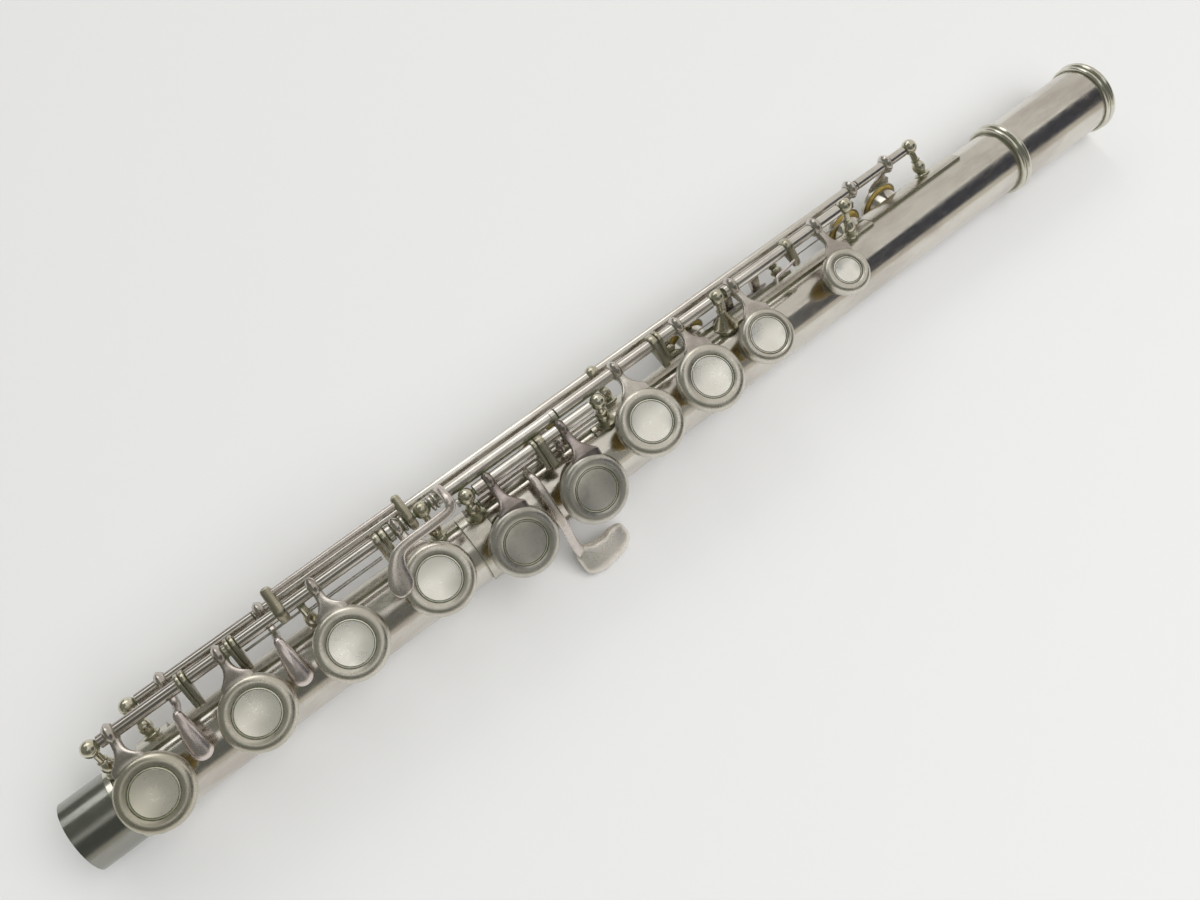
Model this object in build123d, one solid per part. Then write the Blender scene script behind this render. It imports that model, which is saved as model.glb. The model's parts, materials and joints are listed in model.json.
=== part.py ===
from build123d import *
from math import cos, radians, sin
import os

# Body joint of a concert flute: closed-hole Boehm keywork with offset G keys, in millimetres.
# Key frame: X runs from the foot end to the head end on the tube's axis, +Z is where the keys
# face, and +Y is the side of the hinge rods. Everything is modelled in that frame, then turned
# about X by REST_ROLL, which is how the joint lies on a table.
# An angle on the tube is measured from +Z towards +Y.

REST_ROLL = 23.4

# ---- tube, tenon and barrel ----
BODY_LENGTH = 361.0
BORE_R = 9.5
TUBE_R = 9.85
TENON_LENGTH = 12.6
BARREL_START = 319.4
TUBE_END = 331.0          # the tube stops here, inside the barrel
SOCKET_START = 332.5
SOCKET_R = 9.9            # the head joint's tenon slides in here
RELIEF_R = 10.08          # undercut between the tube's end and the socket
BARREL_R = 10.3
RING_R = 11.5
RING_WIDTH = 3.8
RING_FOOT = 0.3           # height of a ring's edges above the barrel
TENON_RING_R = 10.3
TENON_RING_WIDTH = 1.5
TENON_RING_SEAT_R = 9.65  # the ring sits in a groove turned this deep in the tube
PAST = 1.0                # a cutter runs this far past what it cuts

# ---- pads, cups and tone holes ----
SEAT_R = 12.9             # a tone hole's rim, from the tube's axis
CHIMNEY_WALL = 0.7
PAD_GAP = 0.1             # left between a shut pad and its rim
PAD_THICKNESS = 1.6
PAD_CLEARANCE = 0.05
CUP_WALL = 0.5
CUP_HEIGHT = 3.46         # from the tone hole's rim to the top of the cup's rim
TRILL_CUP_HEIGHT = 2.8
CUP_SKIRT = 0.7           # the cup's lip stands this far above the tone hole's rim
OPEN_ANGLE = 8.7          # a finger key stands this far open
THUMB_OPEN_ANGLE = 9.0

# ---- hinge lines: distance from the tube's axis and angle ----
MAIN_LINE = (20.9, 54.4)
TRILL_LINE = (20.0, 78.5)
G_LINE = (19.2, 43.1)
G_SHARP_LINE = (13.8, 43.1)
THUMB_LINE = (16.5, 94.0)

HINGE_R = 1.7             # hinge tubing
THIN_HINGE_R = 1.55       # the trill and G sharp keys' tubing
STEEL_R = 0.8             # the steel rod inside it
RUN = 0.05                # running clearance on a radius
POST_BALL_R = 2.3
POST_BASE_R = 2.2
G_POST_BASE_R = 2.9
BELL_R = 3.6              # the mouth of the bell-shaped post between the A sharp and C keys
EYE_R = 2.0               # the lower ball on a G post
HEAD_R = 1.15             # a pivot screw's head
HEAD_LENGTH = 0.7
SLOT_WIDTH = 0.3
RIB_THICKNESS = 0.85
RIB_R = TUBE_R + RIB_THICKNESS
RIB_GAP = 0.2             # left round a tone hole
ARM_WIDTH = 2.6
ARM_RISE = 2.0            # an arm meets its cup this far above the tone hole's rim
WEB_THICKNESS = 1.2
WEB_HALF_WIDTH = 5.0      # where an arm's web has widened along the cup
WEB_REACH = 4.6           # how far from the cup an arm starts to widen
G_SHARP_WEB_REACH = 0.8   # less, so that it swings clear of the trill rod
COLLAR_R = 2.7            # where an arm or a lug meets its hinge tube
G_COLLAR_R = 2.3
TRILL_COLLAR_R = 2.9
SMALL_COLLAR_R = 2.1
SPRING_R = 0.22

# ---- posts along each line ----
MAIN_POSTS = (16.2, 112.0, 260.2)
TRILL_POSTS = (26.8, 172.2, 294.0)
G_POSTS = (123.1, 166.3)
THUMB_POSTS = (196.5, 237.5)
BELL_POST = 211.9
SPRING_POST = 74.0        # a short post under the F key's tube, which only holds springs
SPRING_POST_TOP = 18.7

# ---- steels in the hinge tubes: start and end ----
F_SHARP_STEEL = (14.4, 111.9)
B_FLAT_STEEL = (112.1, 211.8)
C_STEEL = (212.0, 262.2)
G_STEEL = (120.7, 168.3)
G_SHARP_STEEL = (121.0, 168.0)
THUMB_STEEL = (194.1, 239.5)
SHARP_TRILL_STEEL = (24.9, 295.9)

# ---- straps soldered on the tube: start, end and the angles of their edges ----
RIGHT_HAND_RIB = (14.5, 117.5, 47.0, 66.0)
LEFT_HAND_RIB = (124.9, 268.0, 46.0, 66.0)
TRILL_PLATES = ((22.5, 31.0, 66.2, 90.0), (168.0, 176.4, 66.2, 90.0))
TRILL_STRAP = (268.2, 305.2, 53.0, 90.0)
THUMB_RIB = (193.5, 240.5, 84.0, 104.0)
G_SADDLES = ((117.7, 124.7, -70.0, 66.0), (162.0, 170.5, 30.0, 45.8))

# ---- tone holes: place along the tube, angle, hole radius, cup radius ----
G_ANGLE = -20.5
TRILL_ANGLE = 130.0
G_SHARP_ANGLE = 118.0
THUMB_ANGLE = 128.0
HOLES = {
    "d": (22.8, -2.5, 6.6, 9.6),
    "e": (51.6, 0.0, 6.6, 9.6),
    "f": (78.6, 0.0, 6.6, 9.6),
    "f_sharp": (105.1, 0.0, 6.6, 9.6),
    "lower_g": (128.2, G_ANGLE, 6.5, 9.55),
    "upper_g": (151.5, G_ANGLE, 6.5, 9.55),
    "a": (174.2, 0.0, 6.6, 9.6),
    "a_sharp": (195.4, 0.0, 6.6, 9.6),
    "c": (215.8, 0.0, 4.9, 7.9),
    "c_sharp": (246.7, 5.0, 3.6, 6.95),
    "d_trill": (268.3, TRILL_ANGLE, 4.0, 6.5),
    "d_sharp_trill": (283.3, TRILL_ANGLE, 4.4, 6.6),
    "g_sharp": (152.0, G_SHARP_ANGLE, 5.4, 7.6),
    "thumb_b": (205.3, THUMB_ANGLE, 5.2, 7.2),
}

# ---- hinge tubes: start and end ----
TUBES = {
    "d": (18.65, 41.5),
    "e": (43.1, 55.3),
    "f": (56.9, 99.2),
    "f_sharp": (99.4, 106.7),
    "b_flat": (114.45, 155.1),
    "a": (155.3, 189.7),
    "a_sharp": (189.9, 209.4),
    "c": (214.4, 257.7),
    "lower_g": (125.6, 145.6),
    "upper_g": (145.8, 163.8),
    "g_sharp": (125.35, 164.05),
    "d_trill": (63.1, 271.6),
    "thumb_b": (199.0, 226.0),
    "thumb_b_flat": (226.2, 235.0),
}
SHARP_TRILL_TUBES = ((29.3, 62.9), (271.8, 291.5))

# ---- arms: place along the tube and width ----
ARMS = {
    "d": (21.8, ARM_WIDTH),
    "e": (51.9, ARM_WIDTH),
    "f": (79.1, ARM_WIDTH),
    "f_sharp": (104.3, ARM_WIDTH),
    "a": (175.5, ARM_WIDTH),
    "a_sharp": (197.2, ARM_WIDTH),
    "c": (217.1, ARM_WIDTH),
    "c_sharp": (248.4, ARM_WIDTH),
    "lower_g": (130.1, ARM_WIDTH),
    "upper_g": (153.8, ARM_WIDTH),
    "g_sharp": (151.4, ARM_WIDTH),
    "d_trill": (269.4, ARM_WIDTH),
    "d_sharp_trill": (284.0, ARM_WIDTH),
    "thumb_b": (205.3, ARM_WIDTH),
}

# ---- lugs: start, end, reach over the tube, drop of the tip, and tail on the far side ----
LUGS = {
    "d": ((40.4, 41.5, 6.8, 0.8, 0.0),),
    "e": ((54.2, 55.3, 6.8, 0.8, 0.0),),
    "f": ((97.5, 99.2, 5.4, 0.8, 0.0), (67.9, 70.7, 2.4, -0.4, 6.4), (106.9, 109.4, 2.4, -0.4, 6.4)),
    "f_sharp": ((99.4, 101.0, 5.4, 0.8, 0.0),),
    "a": ((187.8, 189.7, 6.8, 0.8, 1.2),),
    "a_sharp": ((189.9, 191.1, 5.0, 0.8, 0.0),),
    "c": ((236.6, 239.0, 5.2, 0.8, 0.0),),
    "lower_g": ((144.4, 145.6, 6.2, 0.8, 0.0),),
    "upper_g": ((145.8, 148.0, 7.0, 0.8, 0.0),),
}
TONGUES = ((41.7, 42.9, 6.8, 0.8, 0.0), (55.5, 56.7, 6.8, 0.8, 0.0))
BRIDGE = (69.0, 108.5)    # a rod joins the F key's two tailed lugs past the F sharp key
BRIDGE_R = 1.1
BRIDGE_OUT = 4.9

# ---- needle springs: start, end, y and z ----
SPRINGS = (
    (57.0, SPRING_POST, 14.2, 10.5),
    (57.0, SPRING_POST, 13.9, 9.8),
    (SPRING_POST, 97.0, 13.2, 9.6),
    (SPRING_POST, 97.0, 12.6, 8.9),
    (197.0, 210.9, 12.4, 8.85),
    (240.0, 259.2, 13.4, 9.6),
)

# ---- touches: heights between which each plate lies ----
B_FLAT_TOUCH_Z = (20.5, 22.1)
B_FLAT_BAR_X = (116.9, 119.3)
B_FLAT_COLLARS = ((114.6, 115.4, 2.3), (115.8, 116.5, 2.3), (153.3, 155.1, 1.85))
TRILL_TOUCH_Z = (14.4, 16.0)
TRILL_TOUCHES = {"d_trill": 64.9, "d_sharp_trill": 36.5}
G_LEVER_X = (138.9, 141.2)
G_TOUCH_HALF = 0.6
G_TOUCH_PLACE = (-16.8, 2.8)
G_TOUCH_TILT = 12.0
THUMB_TOUCH_R = (10.95, 11.95)
THUMB_TOUCH_ANGLES = (106.0, 154.0)
THUMB_TOUCHES = {"thumb_b": (214.6, 225.8), "thumb_b_flat": (226.4, 234.9)}


def line_yz(line):
    """The y and z of a hinge line."""
    radius, angle = line
    return radius * sin(radians(angle)), radius * cos(radians(angle))


def around(x, angle):
    """A place on the tube's axis at x whose own +Z looks out at this angle."""
    return Pos(x, 0, 0) * Rot(-angle, 0, 0)


def seen_from(angle, line):
    """A hinge line's y and z in the turned frame of a tone hole at this angle."""
    radius, line_angle = line
    return line_yz((radius, line_angle - angle))


def rod(x0, x1, radius, y=0.0, z=0.0):
    """A round bar along X."""
    bar = Cylinder(radius, x1 - x0, align=(Align.CENTER, Align.CENTER, Align.MIN))
    return Pos(x0, y, z) * Rot(0, 90, 0) * bar


def rod_on(line, x0, x1, radius):
    """A round bar on a hinge line."""
    y, z = line_yz(line)
    return rod(x0, x1, radius, y, z)


def pipe(x0, x1, outer, inner):
    """A round tube on the joint's own axis."""
    return rod(x0, x1, outer) - rod(x0 - PAST, x1 + PAST, inner)


def less(solid, cutters):
    """A solid with others cut out of it."""
    for cutter in cutters:
        solid -= cutter
    return solid


def upright(radius, z0, z1):
    """A round bar along the local Z."""
    return Pos(0, 0, z0) * Cylinder(radius, z1 - z0, align=(Align.CENTER, Align.CENTER, Align.MIN))


def shell_patch(x0, x1, angle0, angle1, inner, outer):
    """A piece of a pipe's wall between two angles."""
    half = radians(angle1 - angle0) / 2
    reach = outer * 1.6
    wedge = Polyline(
        (0, 0),
        (-reach * sin(half), reach * cos(half)),
        (0, reach * 1.2),
        (reach * sin(half), reach * cos(half)),
        close=True,
    )
    slice_yz = extrude(Plane.YZ * make_face(wedge), x1 - x0)
    return pipe(x0, x1, outer, inner) & (around(x0, (angle0 + angle1) / 2) * slice_yz)


# ---- the tube and what is soldered on it ----

def tone_hole_wall(name, extra=0.0):
    """The outside of a tone hole's chimney, a little larger by extra."""
    x, angle, hole_r, cup_r = HOLES[name]
    return around(x, angle) * upright(hole_r + CHIMNEY_WALL + extra, TUBE_R * 0.55, SEAT_R + extra)


def body_tube():
    """The tube with a drawn chimney at each tone hole and a groove for the tenon ring."""
    tube = rod(0, TUBE_END, TUBE_R)
    for name in HOLES:
        tube += tone_hole_wall(name)
    tube -= pipe(TENON_LENGTH, TENON_LENGTH + TENON_RING_WIDTH, TUBE_R + PAST, TENON_RING_SEAT_R)
    tube -= rod(-PAST, TUBE_END + PAST, BORE_R)
    for x, angle, hole_r, cup_r in HOLES.values():
        tube -= around(x, angle) * upright(hole_r, 0, SEAT_R + PAST)
    return tube


def barrel():
    """The sleeve on the tube's head end, which is also the head joint's socket."""
    sleeve = rod(BARREL_START, BODY_LENGTH, BARREL_R)
    sleeve -= rod(BARREL_START - PAST, TUBE_END, TUBE_R)
    sleeve -= rod(TUBE_END, SOCKET_START, RELIEF_R)
    sleeve -= rod(SOCKET_START, BODY_LENGTH + PAST, SOCKET_R)
    return sleeve


def double_bead_ring(x0):
    """A barrel ring with a narrow bead and a wide one side by side."""
    split = x0 + RING_WIDTH * 0.38
    end = x0 + RING_WIDTH
    foot = BARREL_R + RING_FOOT
    narrow_top = RING_R - 0.15
    outline = [
        Line((x0, BARREL_R), (x0, foot)),
        ThreePointArc((x0, foot), ((x0 + split) / 2, narrow_top), (split, foot)),
        ThreePointArc((split, foot), ((split + end) / 2, RING_R), (end, foot)),
        Line((end, foot), (end, BARREL_R)),
        Line((end, BARREL_R), (x0, BARREL_R)),
    ]
    return revolve(make_face(outline), Axis.X)


def tenon_ring():
    """The stop ring between the tenon and the tube."""
    return pipe(TENON_LENGTH, TENON_LENGTH + TENON_RING_WIDTH, TENON_RING_R, TENON_RING_SEAT_R)


def strap(x0, x1, angle0, angle1):
    """A plate soldered on the tube, cut away round the tone holes."""
    plate = shell_patch(x0, x1, angle0, angle1, TUBE_R, RIB_R)
    for name, (x, angle, hole_r, cup_r) in HOLES.items():
        if x0 < x + cup_r and x - cup_r < x1:
            plate -= tone_hole_wall(name, RIB_GAP)
    return plate


def post(x, line, bore, base_r=POST_BASE_R):
    """A turned post: base, baluster, collar and a ball that the steel passes through."""
    top, angle = line
    foot = RIB_R
    height = top - foot
    sunk = foot - 1.2
    waist = (1.05, foot + 0.52 * height)
    neck = (1.05, foot + 0.65 * height)
    if base_r == BELL_R:
        swell = [ThreePointArc((base_r, foot + 0.4), (0.66 * base_r, foot + 0.30 * height), waist)]
    else:
        swell = [
            Line((base_r, foot + 0.4), (1.3, foot + 0.65)),
            ThreePointArc((1.3, foot + 0.65), (1.95, foot + 0.30 * height), waist),
        ]
    profile = [
        Line((0, sunk), (base_r, sunk)),
        Line((base_r, sunk), (base_r, foot + 0.4)),
        *swell,
        Line(waist, (1.45, foot + 0.56 * height)),
        Line((1.45, foot + 0.56 * height), (1.45, foot + 0.61 * height)),
        Line((1.45, foot + 0.61 * height), neck),
        Line(neck, (1.05, top)),
        Line((1.05, top), (0, top)),
        Line((0, top), (0, sunk)),
    ]
    shaft = revolve(Plane.XZ * make_face(profile), Axis.Z)
    ball = Pos(0, 0, top) * Sphere(POST_BALL_R)
    placed = around(x, angle) * (shaft + ball)
    placed -= rod(0, BODY_LENGTH, RIB_R)
    return placed - rod_on(line, x - 3, x + 3, bore)


def spring_post():
    """A short post with a bulb and a collar that springs are set in."""
    foot = RIB_R
    height = SPRING_POST_TOP - foot
    shoulder = (1.1, foot + 0.62 * height)
    profile = [
        Line((0, foot - 0.1), (1.8, foot - 0.1)),
        Line((1.8, foot - 0.1), (1.2, foot + 0.4)),
        ThreePointArc((1.2, foot + 0.4), (1.8, foot + 0.32 * height), shoulder),
        Line(shoulder, (1.1, SPRING_POST_TOP)),
        Line((1.1, SPRING_POST_TOP), (0, SPRING_POST_TOP)),
        Line((0, SPRING_POST_TOP), (0, foot - 0.1)),
    ]
    shaft = revolve(Plane.XZ * make_face(profile), Axis.Z)
    return around(SPRING_POST, MAIN_LINE[1]) * shaft - rod(0, BODY_LENGTH, RIB_R)


def g_post(x):
    """A G post, whose baluster carries a second ball for the G sharp key's steel."""
    bore = STEEL_R + RUN
    radius, angle = G_SHARP_LINE
    eye = around(x, angle) * (Pos(0, 0, radius) * Sphere(EYE_R))
    return post(x, G_LINE, bore, G_POST_BASE_R) + eye - rod_on(G_SHARP_LINE, x - 3, x + 3, bore)


# ---- keys ----

def cup(name):
    """A key cup in its tone hole's frame: rounded rim, groove and a dished middle."""
    x, angle, hole_r, r = HOLES[name]
    top = SEAT_R + (TRILL_CUP_HEIGHT if name.endswith("trill") else CUP_HEIGHT)
    lip = SEAT_R + CUP_SKIRT
    ceiling = SEAT_R + PAD_GAP + PAD_THICKNESS
    inner = r - CUP_WALL
    middle = 0.6 * r
    groove = 0.68 * r
    profile = [
        ThreePointArc((0, top - 1.0), (middle * 0.55, top - 0.93), (middle, top - 0.65)),
        Line((middle, top - 0.65), (middle + 0.2, top - 0.95)),
        Line((middle + 0.2, top - 0.95), (groove, top - 0.6)),
        ThreePointArc((groove, top - 0.6), (0.83 * r, top), (r, top - 1.3)),
        Line((r, top - 1.3), (r, lip)),
        Line((r, lip), (inner, lip)),
        Line((inner, lip), (inner, ceiling)),
        Line((inner, ceiling), (0, ceiling)),
        Line((0, ceiling), (0, top - 1.0)),
    ]
    return around(x, angle) * revolve(Plane.XZ * make_face(profile), Axis.Z)


def pad(name):
    """The felt pad in a cup, seated just above its tone hole."""
    x, angle, hole_r, r = HOLES[name]
    seat = SEAT_R + PAD_GAP
    disc = upright(r - CUP_WALL - PAD_CLEARANCE, seat, seat + PAD_THICKNESS)
    return around(x, angle) * disc


def chain(points, plane, start, thickness):
    """A plate on a plane whose outline runs round circles (u, v, radius) in turn."""
    plate = None
    for (u0, v0, r0), (u1, v1, r1) in zip(points, points[1:]):
        ends = (Pos(u0, v0) * Circle(r0)).edges() + (Pos(u1, v1) * Circle(r1)).edges()
        length = extrude(plane * make_hull(ends), thickness)
        plate = length if plate is None else plate + length
    return start * plate


def blade(points, x0, x1):
    """A plate between x0 and x1 whose outline lies in YZ."""
    return chain(points, Plane.YZ, Pos(x0, 0, 0), x1 - x0)


def paddle(points, z0, z1):
    """A flat plate between two heights whose outline lies in XY."""
    return chain(points, Plane.XY, Pos(0, 0, z0), z1 - z0)


def arm(name, line, collar=COLLAR_R):
    """The arm from a hinge tube to a cup's wall, with a web that widens along the cup."""
    x, angle, hole_r, r = HOLES[name]
    x_arm, width = ARMS[name]
    y, z = seen_from(angle, line)
    side = 1 if y > 0 else -1
    offset = x_arm - x
    left = offset - width / 2
    right = offset + width / 2
    edge = (r * r - offset * offset) ** 0.5
    reach_z = SEAT_R + ARM_RISE
    bar = blade(
        [(y, z, 1.5), (side * (edge + 0.4), reach_z, 0.85), (side * (edge - 1.2), reach_z, 0.85)],
        left,
        right,
    )
    bar += rod(left, right, collar, y, z)
    web_reach = G_SHARP_WEB_REACH if name == "g_sharp" else WEB_REACH
    web_start = side * (edge + min(web_reach, abs(y) - edge - HINGE_R - 0.4))
    web_end = side * (edge - 2.2)
    outline = Polyline(
        (left, web_start),
        (max(offset - WEB_HALF_WIDTH, -0.85 * r), web_end),
        (min(offset + WEB_HALF_WIDTH, 0.85 * r), web_end),
        (right, web_start),
        close=True,
    )
    bar += Pos(0, 0, reach_z - 0.7) * extrude(make_face(outline), WEB_THICKNESS)
    bar -= upright(r + 0.01, SEAT_R, SEAT_R + 6)
    return around(x, angle) * bar


def lug(line, collar, x0, x1, reach, drop, tail):
    """A plate on a hinge tube that reaches over the tube, with a tail on the far side."""
    y, z = line_yz(line)
    points = [(y, z, collar), (y - reach, z - drop, 0.8)]
    if tail:
        points.insert(0, (y + tail, z + 0.3, 0.9))
    return blade(points, x0, x1)


def bored(key, line, bore=STEEL_R + RUN):
    """A key with the hole for its steel run through it."""
    return key - rod_on(line, 0, BODY_LENGTH, bore)


def stack_key(name, line, cups=None, collar=COLLAR_R):
    """A finger key: hinge tube, an arm to each cup and its lugs, not yet bored."""
    key = rod_on(line, *TUBES[name], HINGE_R)
    for cup_name in cups or [name]:
        key += arm(cup_name, line, collar)
    for size in LUGS[name]:
        key += lug(line, collar, *size)
    return key


def f_key():
    """The key whose two tailed lugs carry a rod past the F sharp key."""
    y, z = line_yz(MAIN_LINE)
    bridge = rod(*BRIDGE, BRIDGE_R, y + BRIDGE_OUT, z + 0.3)
    return bored(stack_key("f", MAIN_LINE) + bridge, MAIN_LINE)


def f_sharp_key():
    """The key that turns with its own steel, which carries a tongue beside each other key."""
    key = bored(stack_key("f_sharp", MAIN_LINE), MAIN_LINE, STEEL_R)
    for size in TONGUES:
        key += bored(lug(MAIN_LINE, COLLAR_R, *size), MAIN_LINE, STEEL_R)
    return key + rod_on(MAIN_LINE, *F_SHARP_STEEL, STEEL_R)


def b_flat_lever():
    """The side lever: a bar from the rod that runs back over it to a domed touch."""
    y, z = line_yz(MAIN_LINE)
    low, high = B_FLAT_TOUCH_Z
    lever = rod_on(MAIN_LINE, *TUBES["b_flat"], HINGE_R)
    for x0, x1, radius in B_FLAT_COLLARS:
        lever += rod_on(MAIN_LINE, x0, x1, radius)
    lever += blade([(y, z, 2.2), (y + 2.2, 17.0, 1.1), (15.2, 21.3, 0.8)], *B_FLAT_BAR_X)
    lever += paddle([(118.1, 15.4, 1.2), (117.4, 13.6, 1.4), (101.4, 13.1, 1.3), (97.8, 10.6, 1.9)], low, high)
    lever += paddle([(97.8, 10.6, 1.9), (96.5, 5.6, 3.3)], low, high)
    return bored(lever, MAIN_LINE)


def c_key():
    """The key of the two upper cups, with a hook that catches its spring."""
    y, z = line_yz(MAIN_LINE)
    hook = paddle([(237.3, y - 4.4, 0.5), (229.4, y - 5.4, 0.5), (228.6, y - 7.1, 0.5)], z + 0.2, z + 1.0)
    return bored(stack_key("c", MAIN_LINE, ["c", "c_sharp"]) + hook, MAIN_LINE)


def g_sharp_lever():
    """The lever that crosses the tube between the two G cups."""
    y, z = line_yz(G_SHARP_LINE)
    path = [(y, z, 1.6), (5.6, 13.6, 0.9), (-1.5, 13.7, 0.9), (-9.0, 10.4, 0.9), (-15.2, 5.2, 0.9), (-18.4, 2.6, 0.6)]
    return blade(path, *G_LEVER_X)


def g_sharp_key():
    """The G sharp key's tube, lever and arm."""
    key = rod_on(G_SHARP_LINE, *TUBES["g_sharp"], THIN_HINGE_R)
    key += g_sharp_lever() + arm("g_sharp", G_SHARP_LINE, SMALL_COLLAR_R)
    return bored(key, G_SHARP_LINE)


def g_sharp_touch():
    """The kidney-shaped touch at the end of the G sharp lever."""
    kidney = paddle([(143.9, -5.3, 4.7), (151.6, -5.6, 3.7)], -G_TOUCH_HALF, G_TOUCH_HALF)
    kidney -= Pos(148.6, 1.2, 0) * Cylinder(3.6, 3)
    kidney += paddle([(141.0, -1.2, 1.1), (142.6, -3.4, 2.4)], -G_TOUCH_HALF, G_TOUCH_HALF)
    return Pos(0, *G_TOUCH_PLACE) * Rot(G_TOUCH_TILT, 0, 0) * kidney - g_sharp_lever()


def trill_touch(x):
    """A teardrop touch on an arm that passes under the main hinge line."""
    y, z = line_yz(TRILL_LINE)
    neck = blade([(y, z, 1.7), (12.9, 7.6, 1.0), (11.4, 14.6, 0.9)], x - 1.1, x + 1.1)
    neck += rod_on(TRILL_LINE, x - 1.3, x + 1.3, TRILL_COLLAR_R)
    return neck + paddle([(x, 11.2, 1.4), (x - 0.3, 1.2, 2.75)], *TRILL_TOUCH_Z)


def d_trill_key():
    """The long trill key, which turns on the other trill key's steel."""
    key = rod_on(TRILL_LINE, *TUBES["d_trill"], THIN_HINGE_R) + trill_touch(TRILL_TOUCHES["d_trill"])
    return bored(key + arm("d_trill", TRILL_LINE, TRILL_COLLAR_R), TRILL_LINE)


def d_sharp_trill_key():
    """The trill key that is one with its steel, from its touch to its cup."""
    key = trill_touch(TRILL_TOUCHES["d_sharp_trill"])
    for x0, x1 in SHARP_TRILL_TUBES:
        key += rod_on(TRILL_LINE, x0, x1, THIN_HINGE_R)
    key += arm("d_sharp_trill", TRILL_LINE, TRILL_COLLAR_R)
    return key + rod_on(TRILL_LINE, *SHARP_TRILL_STEEL, STEEL_R)


def thumb_key(name):
    """A thumb key's tube and its curved touch, on a short bracket, not yet bored."""
    y, z = line_yz(THUMB_LINE)
    x0, x1 = THUMB_TOUCHES[name]
    middle = (x0 + x1) / 2
    touch_y, touch_z = line_yz((11.6, 108.0))
    key = rod_on(THUMB_LINE, *TUBES[name], HINGE_R)
    key += shell_patch(x0, x1, *THUMB_TOUCH_ANGLES, *THUMB_TOUCH_R)
    return key + blade([(y, z, 1.4), (touch_y, touch_z, 0.6)], middle - 1.5, middle + 1.5)


def pivot_screw(line, x0, x1):
    """A hinge steel with a slotted head outside the post at its x0 end."""
    y, z = line_yz(line)
    head = rod_on(line, x0 - HEAD_LENGTH, x0, HEAD_R)
    head -= Pos(x0 - HEAD_LENGTH, y, z) * Box(HEAD_LENGTH, 3 * HEAD_R, SLOT_WIDTH)
    return rod_on(line, x0, x1, STEEL_R) + head


PARTS = {}


def keep(node, *solids):
    """Lay a node down as the joint lies on a table."""
    laid = [solid.rotate(Axis.X, REST_ROLL) for solid in solids]
    PARTS[node] = laid[0] if len(laid) == 1 else Compound(children=laid)


def keep_key(name, key, line, degrees_up, cups=None):
    """Keep a key with its cups and pads, turned about its hinge to how it stands at rest."""
    y, z = line_yz(line)
    hinge = Axis((0, y, z), (1, 0, 0))
    cup_names = [name] if cups is None else cups
    keep(name + "_key", key.rotate(hinge, degrees_up))
    for cup_name in cup_names:
        keep(cup_name + "_cup", cup(cup_name).rotate(hinge, degrees_up))
    pads = [pad(cup_name).rotate(hinge, degrees_up) for cup_name in cup_names]
    if pads:
        keep(name + "_pad", *pads)


# ---- the fixed parts ----
keep("body_tube", body_tube())
keep("barrel", barrel())
keep("barrel_rings", double_bead_ring(BARREL_START), double_bead_ring(BODY_LENGTH - RING_WIDTH))
keep("tenon_ring", tenon_ring())
keep("right_hand_rib", strap(*RIGHT_HAND_RIB))
keep("left_hand_rib", strap(*LEFT_HAND_RIB))
keep("trill_plates", *[strap(*size) for size in TRILL_PLATES])
keep("trill_strap", strap(*TRILL_STRAP))
keep("thumb_rib", strap(*THUMB_RIB))
keep("g_saddles", *[strap(*size) for size in G_SADDLES])
springs = [rod(x0, x1, SPRING_R, y, z) for x0, x1, y, z in SPRINGS]
main_posts = [post(x, MAIN_LINE, STEEL_R + RUN) for x in MAIN_POSTS]
main_posts.append(post(BELL_POST, MAIN_LINE, STEEL_R + RUN, BELL_R))
keep("main_posts", *[less(solid, springs) for solid in main_posts])
trill_bores = (STEEL_R + RUN, THIN_HINGE_R + RUN, STEEL_R + RUN)
keep("trill_posts", *[post(x, TRILL_LINE, bore) for x, bore in zip(TRILL_POSTS, trill_bores)])
keep("g_posts", *[g_post(x) for x in G_POSTS])
keep("thumb_posts", *[post(x, THUMB_LINE, STEEL_R + RUN) for x in THUMB_POSTS])
keep(
    "hinge_steels",
    rod_on(MAIN_LINE, *B_FLAT_STEEL, STEEL_R),
    rod_on(MAIN_LINE, *C_STEEL, STEEL_R),
    pivot_screw(G_LINE, *G_STEEL),
    pivot_screw(G_SHARP_LINE, *G_SHARP_STEEL),
    pivot_screw(THUMB_LINE, *THUMB_STEEL),
)
keep("spring_post", less(spring_post(), springs))
keep("needle_springs", *springs)

# ---- finger keys, which stand open ----
for name in ("d", "e", "a", "a_sharp"):
    keep_key(name, bored(stack_key(name, MAIN_LINE), MAIN_LINE), MAIN_LINE, -OPEN_ANGLE)
for name in ("lower_g", "upper_g"):
    keep_key(name, bored(stack_key(name, G_LINE, collar=G_COLLAR_R), G_LINE), G_LINE, -OPEN_ANGLE)
keep_key("f", f_key(), MAIN_LINE, -OPEN_ANGLE)
keep_key("f_sharp", f_sharp_key(), MAIN_LINE, -OPEN_ANGLE)
keep_key("c", c_key(), MAIN_LINE, -OPEN_ANGLE, ["c", "c_sharp"])
keep("b_flat_lever", b_flat_lever())

# ---- keys that their springs hold shut ----
keep_key("g_sharp", g_sharp_key(), G_SHARP_LINE, 0)
keep("g_sharp_touch", g_sharp_touch())
keep_key("d_trill", d_trill_key(), TRILL_LINE, 0)
keep_key("d_sharp_trill", d_sharp_trill_key(), TRILL_LINE, 0)

# ---- thumb keys, low on the rods' side ----
thumb_b = bored(thumb_key("thumb_b") + arm("thumb_b", THUMB_LINE, SMALL_COLLAR_R), THUMB_LINE)
keep_key("thumb_b", thumb_b, THUMB_LINE, THUMB_OPEN_ANGLE)
keep_key("thumb_b_flat", bored(thumb_key("thumb_b_flat"), THUMB_LINE), THUMB_LINE, THUMB_OPEN_ANGLE, [])

os.makedirs("parts", exist_ok=True)
for node, shape in PARTS.items():
    export_step(shape, f"parts/{node}.step")
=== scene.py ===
import json
from math import atan2, cos, degrees, pi, radians, sin, tan

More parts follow.
